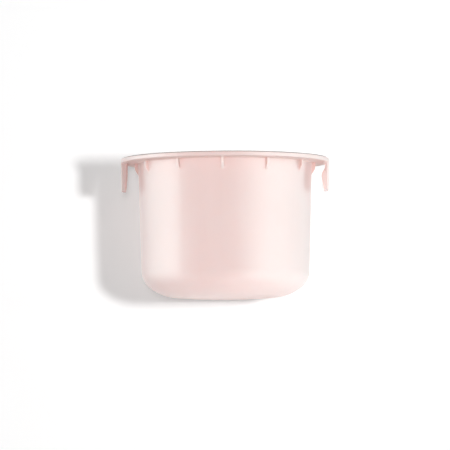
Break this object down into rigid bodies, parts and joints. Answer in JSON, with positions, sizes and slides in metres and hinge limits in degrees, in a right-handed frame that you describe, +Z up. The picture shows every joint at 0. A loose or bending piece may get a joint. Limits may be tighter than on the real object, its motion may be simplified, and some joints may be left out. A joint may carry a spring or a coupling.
{
  "type": "insert pot",
  "caption": "Thin-walled round pot with a hanging flange, gussets, a soft heel, a snap tongue opposite a guide tongue, and a peel-off foil seal with a folded pull tab.",
  "frame": {"origin": "centre of the base, on the plane that the pot stands on", "axes": "+Z up along the pot's axis, +X towards the snap tongue, -Y towards the side that the picture shows"},
  "size_m": [0.058, 0.058, 0.0388],
  "materials": {
    "moulded_plastic": "satin moulded, pale pink, slightly translucent",
    "seal_foil": "satin foil"
  },
  "bodies": {
    "pot": {"cup": "moulded_plastic", "flange": "moulded_plastic"},
    "snap_tongue": {"snap_tongue": "moulded_plastic"},
    "guide_tongue": {"guide_tongue": "moulded_plastic"},
    "peel_seal": {"peel_seal": "seal_foil"},
    "pull_tab": {"pull_tab": "seal_foil"}
  },
  "joints": [
    {"name": "snap_tongue_flex", "type": "hinge", "parent": "pot", "child": "snap_tongue", "pos_m": [0.02845, 0, 0.03785], "axis": [0, -1, 0], "range_deg": [0, 12], "stiffness_Nm_per_rad": 0.2},
    {"name": "guide_tongue_flex", "type": "hinge", "parent": "pot", "child": "guide_tongue", "pos_m": [-0.02845, 0, 0.03785], "axis": [0, 1, 0], "range_deg": [0, 6], "stiffness_Nm_per_rad": 0.3},
    {"name": "seal_lift", "type": "slide", "parent": "pot", "child": "peel_seal", "axis": [0, 0, 1], "range_m": [0, 0.06]},
    {"name": "pull_tab_fold", "type": "hinge", "parent": "peel_seal", "child": "pull_tab", "pos_m": [0.02796, 0, 0.03861], "axis": [0, 1, 0], "range_deg": [0, 170]}
  ]
}
